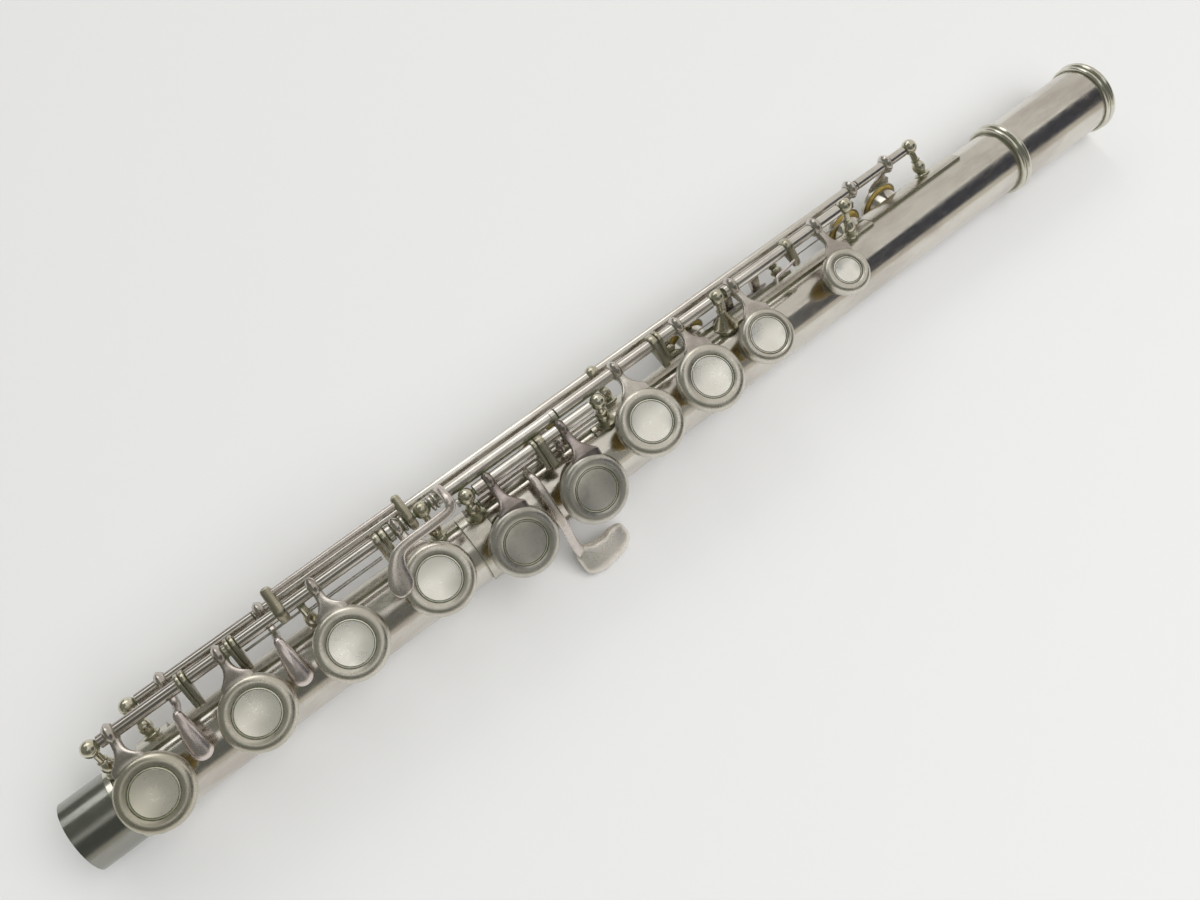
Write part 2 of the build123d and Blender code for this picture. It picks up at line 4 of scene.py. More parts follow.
import bmesh
import bpy
from mathutils import Matrix, Vector
from mathutils.geometry import convex_hull_2d


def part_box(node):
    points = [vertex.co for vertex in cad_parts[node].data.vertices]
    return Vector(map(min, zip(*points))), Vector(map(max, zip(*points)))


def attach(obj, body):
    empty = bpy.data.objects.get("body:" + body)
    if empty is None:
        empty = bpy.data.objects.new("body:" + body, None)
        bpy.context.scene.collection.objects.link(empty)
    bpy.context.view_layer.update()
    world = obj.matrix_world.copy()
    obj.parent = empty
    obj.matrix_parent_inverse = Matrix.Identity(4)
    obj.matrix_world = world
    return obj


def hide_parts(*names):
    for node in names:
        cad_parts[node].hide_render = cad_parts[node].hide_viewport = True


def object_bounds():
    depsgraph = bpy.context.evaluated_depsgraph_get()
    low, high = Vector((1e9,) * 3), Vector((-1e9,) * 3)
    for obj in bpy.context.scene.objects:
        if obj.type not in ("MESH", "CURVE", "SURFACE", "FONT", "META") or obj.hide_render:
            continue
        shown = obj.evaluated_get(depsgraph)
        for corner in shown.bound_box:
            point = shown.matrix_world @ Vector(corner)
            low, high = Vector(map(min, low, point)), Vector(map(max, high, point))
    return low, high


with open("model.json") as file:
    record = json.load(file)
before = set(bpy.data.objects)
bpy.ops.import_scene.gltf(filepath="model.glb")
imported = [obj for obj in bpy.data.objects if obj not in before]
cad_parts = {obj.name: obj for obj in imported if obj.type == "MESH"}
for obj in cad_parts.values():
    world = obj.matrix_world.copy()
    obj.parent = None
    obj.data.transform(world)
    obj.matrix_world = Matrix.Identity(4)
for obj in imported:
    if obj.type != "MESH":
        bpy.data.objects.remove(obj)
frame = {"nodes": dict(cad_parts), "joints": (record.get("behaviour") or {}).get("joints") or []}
cad_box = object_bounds()

# Shapes are built in millimetres in the key frame, with every key shut: X runs along the tube to
# the head end, +Z is where the keys face and +Y is the rods' side. rest_matrix() then opens each
# key, turns the joint about X as it lies on the table, and goes to metres.
MM = 0.001
X_AXIS = Vector((1, 0, 0))
Z_AXIS = Vector((0, 0, 1))
REST_ROLL = 23.4
OPEN_ANGLES = {
    "b_flat": 0.0, "g_sharp": 0.0, "d_trill": 0.0, "d_sharp_trill": 0.0,
    "thumb_b": 9.0, "thumb_b_flat": 9.0,
}
FINGER_OPEN_ANGLE = -8.7
SHARP_EDGE_ANGLE = 38

# cups and pads; SEAT_R is how far the tone holes' rims stand from the tube's axis
SEAT_R = 12.9
PAD_GAP = 0.1
PAD_THICKNESS = 1.6
CUP_WALL = 0.5
CUP_HEIGHT = 3.46
TRILL_CUP_HEIGHT = 2.8
CUP_SKIRT = 0.7

# posts, which stand on ribs whose tops are RIB_R from the tube's axis
RIB_R = 10.7
POST_BASE_R = 2.2
G_POST_BASE_R = 2.8
POST_WAIST_R = 1.15
POST_SINK = 0.9
BALL_R = 2.3
EYE_R = 2.0

# hinge tubes, the steels in them and the collars on them
HINGE_R = 1.7
THIN_HINGE_R = 1.55
HINGE_BORE_R = 0.85
STEEL_R = 0.8
COLLAR_R = 2.7
G_COLLAR_R = 2.3
TRILL_COLLAR_R = 2.58
SMALL_COLLAR_R = 2.1
RIDGE = 0.3

# arms, whose ends reach ARM_OVERLAP over their cups, and lugs
ARM_HALF_WIDTH = 1.3
ARM_ROOT_HALF_HEIGHT = 1.6
ARM_TIP_HALF_HEIGHT = 0.62
ARM_RISE = 2.0
ARM_OVERLAP = 2.2
WEB_SPREAD = 3.0
WEB_CLEARANCE = 0.4
WIDEST_WEB_SHARE = 0.62
LUG_DROP = 0.8
LUG_TIP_R = 0.8
THICK_LUG = 2.4
THICK_LUG_BEVEL = 0.9
THIN_LUG_BEVEL = 0.32

# how finely shapes are divided
LATHE_STEPS = 72
SPAN_STEPS = 6
CORNER_STEPS = 7

# ---- places that the frame doesn't name: each tone hole's angle from +Z towards +Y ----
CUP_ANGLES = {
    "d": -2.5, "e": 0, "f": 0, "f_sharp": 0, "a": 0, "a_sharp": 0, "c": 0, "c_sharp": 5,
    "lower_g": -20.5, "upper_g": -20.5, "d_trill": 130, "d_sharp_trill": 130,
    "g_sharp": 118, "thumb_b": 128,
}
OFFSET_KEYS = ("lower_g", "upper_g")
BODY_OF_CUP = {name: name for name in CUP_ANGLES}
BODY_OF_CUP["c_sharp"] = "c"

UNROLL = Matrix.Rotation(radians(-REST_ROLL), 3, "X")
HINGES = {joint["child"]: (UNROLL @ Vector(joint["pos_m"]) / MM).yz for joint in frame["joints"]}
MAIN = HINGES["d"]
TRILL = HINGES["d_trill"]
G_LINE = HINGES["upper_g"]
G_SHARP = HINGES["g_sharp"]
THUMB = HINGES["thumb_b"]


def span(node):
    """Where a CAD node starts and ends along the tube, in millimetres."""
    low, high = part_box(node)
    return low.x / MM, high.x / MM


def rest_matrix(body):
    """From the key frame in millimetres to the body at rest in metres."""
    matrix = Matrix.Rotation(radians(REST_ROLL), 4, "X") @ Matrix.Scale(MM, 4)
    if body == "body":
        return matrix
    pivot = Vector((0, *HINGES[body]))
    turn = Matrix.Rotation(radians(OPEN_ANGLES.get(body, FINGER_OPEN_ANGLE)), 4, "X")
    return matrix @ Matrix.Translation(pivot) @ turn @ Matrix.Translation(-pivot)


def around(x, angle):
    """A tone hole's frame: its +Z looks out of the tube at this angle."""
    return Matrix.Translation((x, 0, 0)) @ Matrix.Rotation(radians(-angle), 4, "X")


def along(line):
    """A hinge line's frame: its +Z runs along the tube."""
    return Matrix.Translation((0, *line)) @ Matrix.Rotation(pi / 2, 4, "Y")


def line_angle(line):
    """A hinge line's angle about the tube's axis, in degrees from +Z towards +Y."""
    return degrees(atan2(line.x, line.y))


# ---- shapes ----

def rounded(corners):
    """A closed outline through corners (u, v, radius), each rounded off."""
    outline = []
    for i, (u, v, radius) in enumerate(corners):
        here = Vector((u, v))
        back = Vector(corners[i - 1][:2]) - here
        ahead = Vector(corners[(i + 1) % len(corners)][:2]) - here
        cut = min(radius / tan(back.angle(ahead) / 2), 0.49 * back.length, 0.49 * ahead.length)
        start = here + back.normalized() * cut
        end = here + ahead.normalized() * cut
        for k in range(CORNER_STEPS + 1):
            t = k / CORNER_STEPS
            outline.append(start * (1 - t) ** 2 + here * 2 * t * (1 - t) + end * t * t)
    return outline


def skin(rings):
    """Faces between rings of points, where a ring may be a single point."""
    bm = bmesh.new()
    rows = [[bm.verts.new(point) for point in ring] for ring in rings]
    for row, after in zip(rows, rows[1:]):
        count = max(len(row), len(after))
        for i in range(count):
            j = (i + 1) % count
            here, there = i % len(row), j % len(row)
            here_after, there_after = i % len(after), j % len(after)
            corners = [row[here], row[there], after[there_after], after[here_after]]
            corners = list(dict.fromkeys(corners))
            if len(corners) > 2:
                bm.faces.new(corners)
    return bm


def turned(outline, steps=LATHE_STEPS):
    """A solid turned about Z from a closed outline of (radius, height)."""
    rings = []
    for radius, height in [*outline, outline[0]]:
        if radius < 1e-6:
            rings.append([Vector((0, 0, height))])
        else:
            turns = [2 * pi * i / steps for i in range(steps)]
            rings.append([Vector((radius * cos(a), radius * sin(a), height)) for a in turns])
    bm = skin(rings)
    bmesh.ops.remove_doubles(bm, verts=bm.verts, dist=1e-5)
    return bm


def loft(sections):
    """A closed bar through sections, each a ring of points."""
    ends = [[sum(ring, Vector()) / len(ring)] for ring in (sections[0], sections[-1])]
    return skin([ends[0], *sections, ends[1]])


def oval(centre, across, up, half_width, half_height, squareness, count=24):
    """A ring of points round centre, between an ellipse (2) and a rectangle (large)."""
    ring = []
    for i in range(count):
        a = 2 * pi * i / count
        c, s = cos(a), sin(a)
        scale = (abs(c) ** squareness + abs(s) ** squareness) ** (-1 / squareness)
        ring.append(centre + across * (half_width * c * scale) + up * (half_height * s * scale))
    return ring


def smooth_path(points):
    """Vectors along a smooth curve through the given ones, of any dimension."""
    padded = [2 * points[0] - points[1], *points, 2 * points[-1] - points[-2]]
    path = []
    for a, b, c, d in zip(padded, padded[1:], padded[2:], padded[3:]):
        slope = c - a
        bend = 2 * a - 5 * b + 4 * c - d
        twist = 3 * b - a - 3 * c + d
        for k in range(SPAN_STEPS):
            t = k / SPAN_STEPS
            path.append(0.5 * (2 * b + slope * t + bend * t * t + twist * t ** 3))
    return [*path, points[-1]]


def bar(stations, up_axis, squareness=2.6):
    """A bar along stations (x, y, z, half width, half height), its height along up_axis."""
    places = smooth_path([Vector(station) for station in stations])
    up_axis = Vector(up_axis)
    sections = []
    for i, place in enumerate(places):
        before = Vector(places[max(i - 1, 0)][:3])
        after = Vector(places[min(i + 1, len(places) - 1)][:3])
        run = (after - before).normalized()
        across = run.cross(up_axis).normalized()
        up = across.cross(run)
        sections.append(oval(Vector(place[:3]), across, up, place[3], place[4], squareness))
    return loft(sections)


def hull_of(circles, count=32):
    """The outline round circles (u, v, radius)."""
    points = []
    for u, v, radius in circles:
        turns = [2 * pi * i / count for i in range(count)]
        points += [(u + radius * cos(a), v + radius * sin(a)) for a in turns]
    return [Vector(points[i]) for i in convex_hull_2d(points)]


def plate(outline, x0, x1, bevel=0.22):
    """A plate square to X with an outline of (y, z) and rounded edges."""
    middle = sum(outline, Vector((0, 0))) / len(outline)
    cut = 0.3 * bevel
    profile = [(x0, bevel), (x0 + cut, cut), (x0 + bevel, 0)]
    profile += [(x1 - bevel, 0), (x1 - cut, cut), (x1, bevel)]
    rings = []
    for x, inset in profile:
        ring = []
        for point in outline:
            inward = (middle - point).normalized() * inset
            ring.append(Vector((x, *(point + inward))))
        rings.append(ring)
    return loft(rings)


def dome(outline, centre, low, edge, crown, layers=7):
    """A touch: a closed outline in XY with a rounded edge, a flat underside and a crowned top."""
    centre = Vector(centre)
    profile = [(0.6, low), (0.93, low), (0.985, low + 0.1)]
    profile += [(1.0, low + 0.3), (1.0, edge - 0.25), (0.985, edge)]
    for k in range(1, layers):
        a = k / layers * pi / 2
        profile.append((cos(a) * 0.96, edge + (crown - edge) * sin(a)))
    rings = [[Vector((*centre, low))]]
    for scale, height in profile:
        rings.append([Vector((*(centre + (point - centre) * scale), height)) for point in outline])
    rings.append([Vector((*centre, crown))])
    return skin(rings)


def joined(*shapes):
    """Several shapes as one mesh; a shape may come as (shape, matrix)."""
    whole = bmesh.new()
    for shape in shapes:
        bm, matrix = shape if isinstance(shape, tuple) else (shape, Matrix())
        mesh = bpy.data.meshes.new("shape")
        bmesh.ops.recalc_face_normals(bm, faces=bm.faces)
        bm.to_mesh(mesh)
        bm.free()
        mesh.transform(matrix)
        whole.from_mesh(mesh)
        bpy.data.meshes.remove(mesh)
    return whole


def piece(name, bm, body, material, stands_for, at=Matrix()):
    """Lays a shape down as a piece that rides a body and stands for CAD nodes."""
    bmesh.ops.recalc_face_normals(bm, faces=bm.faces)
    mesh = bpy.data.meshes.new(name)
    bm.to_mesh(mesh)
    bm.free()
    mesh.transform(rest_matrix(body) @ at)
    mesh.shade_smooth()
    mesh.set_sharp_from_angle(angle=radians(SHARP_EDGE_ANGLE))
    obj = bpy.data.objects.new(name, mesh)
    bpy.context.scene.collection.objects.link(obj)
    obj.data.materials.append(material)
    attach(obj, body)
    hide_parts(*stands_for)
    return obj


# ---- materials ----

class Shader:
    """Nodes of a material or a world, put together one at a time."""

    def __init__(self, tree, coordinates):
        self.tree = tree
        self.place = self.add("ShaderNodeTexCoord").outputs[coordinates]

    def add(self, kind, inputs=None, **settings):
        """A new node, with its inputs by socket and its settings by name."""
        node = self.tree.nodes.new(kind)
        for key, value in settings.items():
            setattr(node, key, value)
        for key, value in (inputs or {}).items():
            self.feed(node.inputs[key], value)
        return node

    def feed(self, socket, value):
        """Gives a socket another node's output or a value; a colour is (red, green, blue)."""
        if isinstance(value, bpy.types.NodeSocket):
            self.tree.links.new(value, socket)
        elif socket.type == "RGBA":
            socket.default_value = (*value, 1.0)
        else:
            socket.default_value = value

    def noise(self, scale, detail=4, roughness=0.55, stretch=(1, 1, 1)):
        """Noise with features of about 1 / scale metres, stretched along the axes."""
        place = self.add("ShaderNodeMapping", {"Vector": self.place, "Scale": stretch})
        texture = self.add("ShaderNodeTexNoise", {
            "Vector": place.outputs[0], "Scale": scale, "Detail": detail, "Roughness": roughness})
        return texture.outputs["Fac"]

    def ramp(self, value, low, high, to_low=0.0, to_high=1.0):
        """value from low to high becomes to_low to to_high, smoothly."""
        inputs = {"Value": value, "From Min": low, "From Max": high}
        inputs.update({"To Min": to_low, "To Max": to_high})
        node = self.add("ShaderNodeMapRange", inputs, interpolation_type="SMOOTHSTEP")
        return node.outputs["Result"]

    def maths(self, operation, a, b):
        """The result of one operation on two numbers."""
        return self.add("ShaderNodeMath", {0: a, 1: b}, operation=operation).outputs[0]

    def mix(self, factor, a, b):
        """Colour a where factor is 0 and b where it is 1."""
        node = self.add("ShaderNodeMix", {0: factor, 6: a, 7: b}, data_type="RGBA")
        return node.outputs[2]


class Surface(Shader):
    """A material whose principled surface is set one input at a time."""

    def __init__(self, name):
        self.material = bpy.data.materials.new(name)
        self.material.use_nodes = True
        super().__init__(self.material.node_tree, "Object")
        self.surface = self.tree.nodes["Principled BSDF"]

    def set(self, **inputs):
        """Sets inputs of the surface, with _ for each space in their names."""
        for key, value in inputs.items():
            self.feed(self.surface.inputs[key.replace("_", " ")], value)

    def crevice(self, reach):
        """1 in corners narrower than reach and 0 on open faces."""
        occlusion = self.add("ShaderNodeAmbientOcclusion", {"Distance": reach}, samples=6)
        return self.ramp(occlusion.outputs["AO"], 0.35, 0.9, 1.0, 0.0)

    def bump(self, height, strength, distance):
        """Raises and sinks the surface by height, without moving it."""
        inputs = {"Height": height, "Strength": strength, "Distance": distance}
        node = self.add("ShaderNodeBump", inputs)
        self.set(Normal=node.outputs[0])


DARK_DIRT = (0.10, 0.10, 0.05)
LIGHT_DIRT = (0.24, 0.27, 0.13)
HAZE = 0.10


def tarnished(
        name, bright, dull, roughness, tarnish=0.7, stretch=(1, 1, 1), reach=0.0016,
        brushed=0.0, satin=0.0, foot_tarnish_and_shade=None):
    """Worn nickel silver: bright metal, patches of tarnish, fine haze, and dirt in its corners.

    tarnish is how far the patches go from bright to dull, and stretch makes them long or short;
    reach is how many metres the dirt comes out of a corner; brushed is the strength of scratches
    along the tube; satin is how much of the metal scatters light like paper; foot_tarnish_and_shade
    is (start, end, colour), the places along the tube between which it goes from that colour to its
    own, a darker foot end that is partly real tarnish and partly painted shade for the darker room
    that the metal there reflects."""
    shader = Surface(name)
    patches = shader.ramp(shader.noise(95, 5, 0.62, stretch), 0.40, 0.66)
    stains = shader.ramp(shader.noise(420, 3, 0.6, stretch), 0.48, 0.80, 0.0, 0.4)
    age = shader.maths("MULTIPLY", shader.maths("MAXIMUM", patches, stains), tarnish)
    metal = shader.mix(age, bright, dull)
    # the foot end's darker colour: partly its real tarnish, partly painted shade for the darker room
    # that the metal there reflects
    if foot_tarnish_and_shade:
        start, end, colour = foot_tarnish_and_shade
        along_tube = shader.add("ShaderNodeSeparateXYZ", {0: shader.place}).outputs["X"]
        metal = shader.mix(shader.ramp(along_tube, start, end, 1.0, 0.0), metal, colour)
    corner = shader.crevice(reach)
    mottle = shader.ramp(shader.noise(1500, 3, 0.6), 0.4, 0.6)
    green = shader.mix(mottle, DARK_DIRT, LIGHT_DIRT)
    shader.set(Base_Color=shader.mix(corner, metal, green))
    shader.set(Metallic=shader.ramp(corner, 0.2, 1.0, 1.0 - satin, 0.35 * (1.0 - satin)))
    clouds = shader.noise(900, 4, 0.65, stretch)
    haze = shader.ramp(clouds, 0.3, 0.75, roughness - HAZE / 2, roughness + HAZE / 2)
    aged = shader.maths("ADD", haze, shader.maths("MULTIPLY", age, 0.10))
    shader.set(Roughness=shader.maths("ADD", aged, shader.maths("MULTIPLY", corner, 0.35)))
    grain = shader.noise(2600, 4, 0.7, (0.06, 1, 1) if brushed else (1, 1, 1))
    shader.bump(grain, 0.10 + brushed, 0.00002)
    return shader.material


def pad_skin():
    """Yellowed pad skin over felt: blotchy, with a dull sheen."""
    shader = Surface("yellowed_skin")
    patches = shader.ramp(shader.noise(500, 4, 0.6), 0.35, 0.65)
    shader.set(Base_Color=shader.mix(patches, (0.50, 0.36, 0.09), (0.30, 0.22, 0.07)))
    shader.set(Roughness=shader.ramp(shader.noise(1400), 0.3, 0.7, 0.45, 0.7))
    shader.bump(shader.noise(2400, 5, 0.7), 0.4, 0.00006)
    return shader.material


# darker colours for the foot end of the tube, rods, keys and cups: partly their real tarnish, partly
# painted shade for the darker room that the metal there reflects
OLIVE = (0.50, 0.47, 0.37)
DARK_END = (0.44, 0.40, 0.37)
TENON_GREY = (0.34, 0.34, 0.31)
TUBE_METAL = tarnished(
    "tube_plate", (0.72, 0.69, 0.63), (0.50, 0.45, 0.41), 0.18, tarnish=0.6,
    stretch=(0.35, 1, 1), brushed=0.12, foot_tarnish_and_shade=(0.0124, 0.0128, TENON_GREY))
RING_METAL = tarnished("ring_plate", (0.74, 0.72, 0.64), (0.50, 0.48, 0.38), 0.17, tarnish=0.5)
RIM_METAL = tarnished(
    "cup_rim", (0.70, 0.67, 0.60), (0.52, 0.49, 0.41), 0.29, tarnish=0.5, satin=0.04,
    foot_tarnish_and_shade=(-0.03, 0.11, OLIVE))
# the dish is the rim's metal painted lighter: a painted reflection of the bright room in the cup's
# hollow
DISH_METAL = tarnished(
    "cup_dish", (0.88, 0.86, 0.80), (0.74, 0.71, 0.63), 0.30, tarnish=0.4, satin=0.25,
    foot_tarnish_and_shade=(-0.03, 0.10, OLIVE))
# darker copies of the cup metals for the offset G cups, which face the dark wall: painted shade
SHADED_RIM_METAL = tarnished("shaded_cup_rim", (0.62, 0.60, 0.55), (0.42, 0.40, 0.34), 0.30, satin=0.05)
SHADED_DISH_METAL = tarnished(
    "shaded_cup_dish", (0.60, 0.58, 0.53), (0.36, 0.35, 0.30), 0.32, satin=0.12)
KEY_METAL = tarnished(
    "key_plate", (0.68, 0.64, 0.59), (0.36, 0.31, 0.28), 0.24,
    foot_tarnish_and_shade=(-0.08, 0.13, DARK_END))
G_ARM_METAL = tarnished(
    "dark_arm_plate", (0.44, 0.39, 0.37), (0.22, 0.18, 0.17), 0.26, tarnish=0.75)
TOUCH_METAL = tarnished(
    "touch_plate", (0.74, 0.67, 0.645), (0.46, 0.38, 0.37), 0.22, tarnish=0.6, satin=0.06)
LEVER_METAL = tarnished(
    "lever_plate", (0.72, 0.665, 0.62), (0.50, 0.44, 0.40), 0.24, tarnish=0.6, satin=0.06)
KIDNEY_METAL = tarnished(
    "kidney_plate", (0.80, 0.76, 0.70), (0.60, 0.55, 0.50), 0.30, tarnish=0.4, satin=0.25)
ROD_METAL = tarnished(
    "rod_plate", (0.74, 0.71, 0.66), (0.45, 0.40, 0.37), 0.19, tarnish=0.6,
    stretch=(0.4, 1, 1), brushed=0.1, foot_tarnish_and_shade=(-0.02, 0.13, DARK_END))
POST_METAL = tarnished("post_plate", (0.70, 0.67, 0.55), (0.48, 0.45, 0.33), 0.22)
LUG_METAL = tarnished("lug_plate", (0.54, 0.51, 0.41), (0.34, 0.31, 0.23), 0.25, tarnish=0.8)
RIB_METAL = tarnished(
    "rib_plate", (0.64, 0.61, 0.54), (0.38, 0.35, 0.29), 0.24,
    stretch=(0.5, 1, 1), reach=0.0012)
STEEL_METAL = tarnished("drawn_steel", (0.56, 0.54, 0.51), (0.32, 0.29, 0.27), 0.28, tarnish=0.6)
PAD_SKIN = pad_skin()


# ---- cups and pads ----

# the groove's radius as a share of the cup's, by the cup's radius where it isn't the usual share
GROOVE_SHARES = {7.9: 0.66, 6.95: 0.57}
USUAL_GROOVE_SHARE = 0.61
CREST_SHARE = 0.79
SEAT_MARK_SHARE = 0.74


def cup_size(name):
    """A cup's place along the tube and its radius."""
    start, end = span(name + "_cup")
    return (start + end) / 2, (end - start) / 2


def cup_shape(r, height):
    """A cup about its own axis: broad rounded rim, a double-line groove and a dished middle."""
    top = SEAT_R + height
    lip = SEAT_R + CUP_SKIRT
    ceiling = SEAT_R + PAD_GAP + PAD_THICKNESS
    groove = GROOVE_SHARES.get(round(r, 2), USUAL_GROOVE_SHARE) * r
    crest = CREST_SHARE * r
    shoulder = height - 1.56
    ring = 0.24
    line_depth = 0.66
    rim_drop = 0.26
    dish_edge = 0.44
    outline = [(r - CUP_WALL, ceiling), (r - CUP_WALL, lip + 0.05), (r - 0.4, lip), (r - 0.08, lip)]
    outline += [(r, lip + 0.08), (r, lip + 0.36), (r - 0.07, lip + 0.44)]
    for k in range(9):
        a = pi / 2 * k / 8
        outline.append((crest + (r - 0.05 - crest) * cos(a), top - shoulder * (1 - sin(a))))
    for k in range(1, 7):
        t = k / 6
        outline.append((crest + (groove + ring + 0.16 - crest) * t, top - rim_drop * t * t))
    for centre in (groove + ring, groove - ring):
        outline += [(centre + 0.10, top - 0.36), (centre + 0.06, top - line_depth)]
        outline += [(centre - 0.06, top - line_depth), (centre - 0.10, top - dish_edge)]
        outline.append((centre - 0.15, top - 0.40))
    start = groove - ring - 0.3
    outline.append((start, top - dish_edge))
    middle = min(1.0, height - PAD_GAP - PAD_THICKNESS - 0.15)
    for k in range(1, 9):
        t = 1 - k / 9
        outline.append((start * t, top - middle + (middle - dish_edge) * t * t))
    outline += [(0, top - middle), (0, ceiling)]
    cup = turned(outline, 96)
    # faces inside the groove take the second material, the dish with its painted reflection
    for face in cup.faces:
        face.material_index = int(face.calc_center_median().xy.length < groove)
    return cup


def pad_shape(r):
    """A pad with a rounded edge and the mark that its tone hole has pressed in it."""
    low = SEAT_R + PAD_GAP
    high = low + PAD_THICKNESS
    edge = r - CUP_WALL - 0.05
    mark = SEAT_MARK_SHARE * r
    outline = [(0, low), (mark - 0.5, low), (mark - 0.25, low + 0.12), (mark + 0.25, low + 0.12)]
    outline += [(mark + 0.5, low), (edge - 0.5, low + 0.02), (edge - 0.15, low + 0.2)]
    outline += [(edge, low + 0.55), (edge, high), (0, high)]
    return turned(outline)


def padded_cup(name):
    """A cup, whose dish is painted lighter than its rim as a painted reflection, and the pad in it.
    """
    x, r = cup_size(name)
    place = around(x, CUP_ANGLES[name])
    body = BODY_OF_CUP[name]
    height = TRILL_CUP_HEIGHT if name.endswith("trill") else CUP_HEIGHT
    rim, dish = RIM_METAL, DISH_METAL
    # the offset G cups take the darker copies of the cup metals: painted shade
    if name in OFFSET_KEYS:
        rim, dish = SHADED_RIM_METAL, SHADED_DISH_METAL
    cup = piece(name + "_key_cup", cup_shape(r, height), body, rim, [name + "_cup"], place)
    cup.data.materials.append(dish)
    piece(name + "_key_pad", pad_shape(r), body, PAD_SKIN, [body + "_pad"], place)


for name in CUP_ANGLES:
    padded_cup(name)


# ---- hinge tubes, steels and posts ----

def hinge_pipe(x0, x1, radius=HINGE_R, collars=()):
    """Hinge tubing with eased ends, and collars (start, end, radius) on it."""
    ease = 0.12
    chamfer = 0.2
    outline = [(HINGE_BORE_R, x0), (radius - ease, x0), (radius, x0 + ease)]
    for start, end, collar in collars:
        outline += [(radius, start), (collar - chamfer, start), (collar, start + chamfer)]
        outline += [(collar, end - chamfer), (collar - chamfer, end), (radius, end)]
    outline += [(radius, x1 - ease), (radius - ease, x1), (HINGE_BORE_R, x1)]
    return turned(outline, 48)


def steel_rod(x0, x1, radius=STEEL_R):
    """A steel with domed ends."""
    outline = [(0, x0), (0.6 * radius, x0 + 0.05), (radius, x0 + 0.3)]
    outline += [(radius, x1 - 0.3), (0.6 * radius, x1 - 0.05), (0, x1)]
    return turned(outline, 32)


def post_shape(top, base_r):
    """A turned post in its own frame: flange, bulb, waist, collar and ball."""
    foot = RIB_R
    sole = foot - POST_SINK
    flange_r = base_r + 0.1
    outline = [(0, sole), (base_r, sole), (flange_r, foot - 0.6), (flange_r, foot + 0.15)]
    outline += [(base_r - 0.1, foot + 0.4), (1.5, foot + 0.5), (1.3, foot + 0.65)]
    start = foot + 0.72
    bulb = 0.40 * (top - foot)
    for k in range(9):
        a = pi * k / 8
        outline.append((POST_WAIST_R + 0.8 * sin(a) ** 0.9, start + bulb * k / 8))
    return turned(outline + post_top(top, start + bulb), 48)


def bell_post_shape(top):
    """The post between the A sharp and C keys, whose lower half flares out like a bell."""
    foot = RIB_R
    sole = foot - POST_SINK
    outline = [(0, sole), (3.4, sole), (3.6, foot - 0.6), (3.6, foot + 0.3), (3.35, foot + 0.55)]
    start = foot + 0.6
    bell = 0.46 * (top - foot)
    for k in range(1, 9):
        t = k / 8
        outline.append((POST_WAIST_R + 2.2 * (1 - t) ** 1.3, start + bell * t))
    return turned(outline + post_top(top, start + bell), 48)


BALL_START = -pi / 2 + 0.42


def post_top(top, neck):
    """The upper outline of every post: waist, collar and ball."""
    outline = [(1.05, neck + 0.12), (1.3, neck + 0.2), (1.5, neck + 0.36)]
    outline += [(1.5, neck + 0.5), (1.3, neck + 0.66), (1.05, neck + 0.78)]
    for k in range(12):
        a = BALL_START + (pi / 2 - BALL_START) * k / 12
        outline.append((BALL_R * cos(a), top + BALL_R * sin(a)))
    return [*outline, (0, top + BALL_R)]


def posts(name, node, line, places, base_r=POST_BASE_R, extra=()):
    """The posts of one hinge line as one piece."""
    angle = line_angle(line)
    shapes = [(post_shape(line.length, base_r), around(x, angle)) for x in places]
    piece(name, joined(*shapes, *extra), "body", POST_METAL, [node])


def eye_ball(x, line):
    """The lower ball on a G post."""
    outline = [(EYE_R * sin(pi * k / 16), -EYE_R * cos(pi * k / 16)) for k in range(17)]
    return turned(outline, 40), Matrix.Translation((x, *line))


MAIN_POSTS = (16.2, 112.0, 260.2)
BELL_POST = 211.9
TRILL_POSTS = (26.8, 172.2, 294.0)
G_POSTS = (123.1, 166.3)
THUMB_POSTS = (196.5, 237.5)
bell_post = (bell_post_shape(MAIN.length), around(BELL_POST, line_angle(MAIN)))
eye_balls = [eye_ball(x, G_SHARP) for x in G_POSTS]
posts("main_ball_posts", "main_posts", MAIN, MAIN_POSTS, extra=[bell_post])
posts("trill_ball_posts", "trill_posts", TRILL, TRILL_POSTS)
posts("thumb_ball_posts", "thumb_posts", THUMB, THUMB_POSTS)
posts("g_ball_posts", "g_posts", G_LINE, G_POSTS, G_POST_BASE_R, eye_balls)


# ---- arms, lugs and touches ----

def ridged_collar(x, line, radius, half_width):
    """A collar on a hinge tube that rises to a ridge round its middle."""
    half = [(radius + RIDGE, 0.06), (radius, 0.45 * half_width), (radius - 0.5, half_width - 0.1)]
    half += [(radius - 0.9, half_width), (0, half_width)]
    outline = [(r, -height) for r, height in reversed(half)] + half
    return turned(outline, 48), Matrix.Translation((x, 0, 0)) @ along(line)


